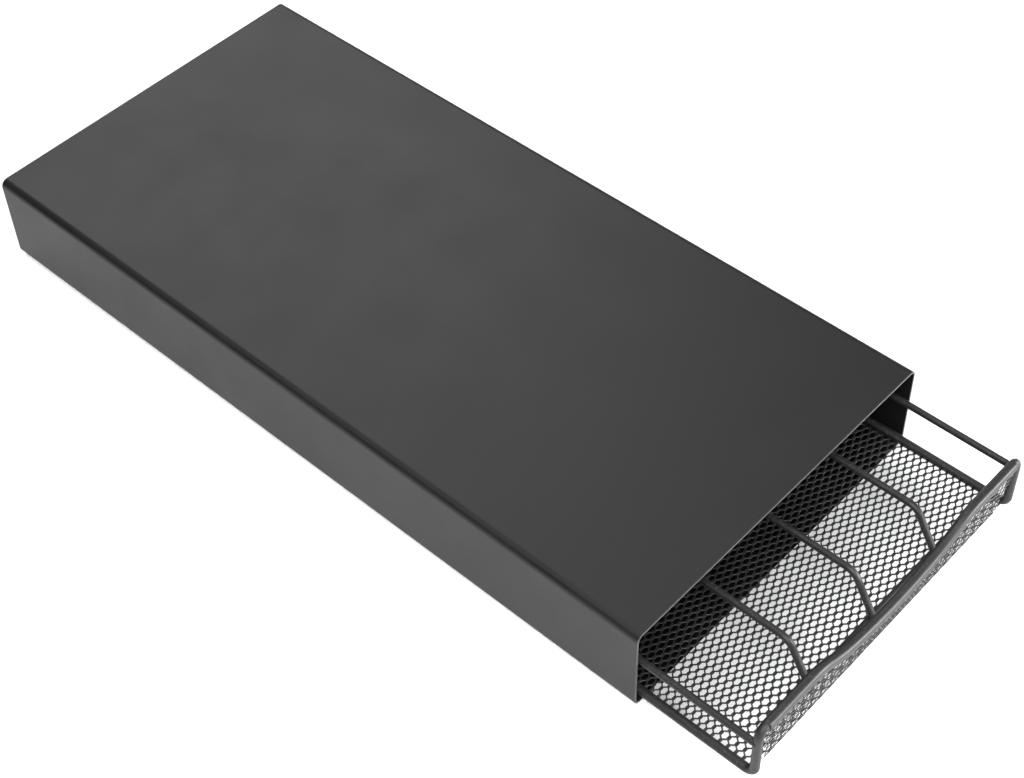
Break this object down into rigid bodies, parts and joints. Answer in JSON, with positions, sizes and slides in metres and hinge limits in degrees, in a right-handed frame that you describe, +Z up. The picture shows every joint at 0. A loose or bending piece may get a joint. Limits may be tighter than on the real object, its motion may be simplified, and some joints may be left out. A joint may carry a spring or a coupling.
{
  "type": "coffee pod drawer",
  "caption": "Low black sheet-metal cabinet with an open wire and mesh drawer that slides out of its front, with divider wires that make lanes for coffee pods.",
  "frame": {"origin": "middle of the cabinet's footprint, on the surface that its feet stand on", "axes": "the drawer opens towards -Y, +X is the right-hand side seen from the front, +Z is up"},
  "size_m": [0.2234, 0.5479, 0.0585],
  "materials": {
    "cabinet_coat": "satin black powder coat with a fine orange-peel texture",
    "wire_coat": "satin black powder coat on round wire",
    "mesh_coat": "satin black powder coat on expanded metal",
    "runner_plastic": "matt black low-friction plastic",
    "foot_rubber": "matt black rubber"
  },
  "bodies": {
    "cabinet": {"cabinet_cover": "cabinet_coat", "base_plate": "cabinet_coat", "back_panel": "cabinet_coat", "runner_left": "runner_plastic", "runner_right": "runner_plastic", "stop_tab_left": "cabinet_coat", "stop_tab_right": "cabinet_coat", "foot_front_left": "foot_rubber", "foot_front_right": "foot_rubber", "foot_rear_left": "foot_rubber", "foot_rear_right": "foot_rubber"},
    "drawer": {"front_hoop": "wire_coat", "rear_hoop": "wire_coat", "lower_rail_left": "wire_coat", "lower_rail_right": "wire_coat", "upper_rail_left": "wire_coat", "upper_rail_right": "wire_coat", "divider_left": "wire_coat", "divider_centre": "wire_coat", "divider_right": "wire_coat", "front_cross_wire": "wire_coat", "rear_cross_wire": "wire_coat", "floor_wire_front": "wire_coat", "floor_wire_middle": "wire_coat", "floor_wire_rear": "wire_coat", "floor_mesh": "mesh_coat", "front_mesh_panel": "mesh_coat", "rear_mesh_panel": "mesh_coat", "front_hem": "mesh_coat", "rear_hem": "mesh_coat"}
  },
  "joints": [
    {"name": "drawer_slide", "type": "slide", "parent": "cabinet", "child": "drawer", "axis": [0, -1, 0], "range_m": [-0.0701, 0.3117]}
  ]
}
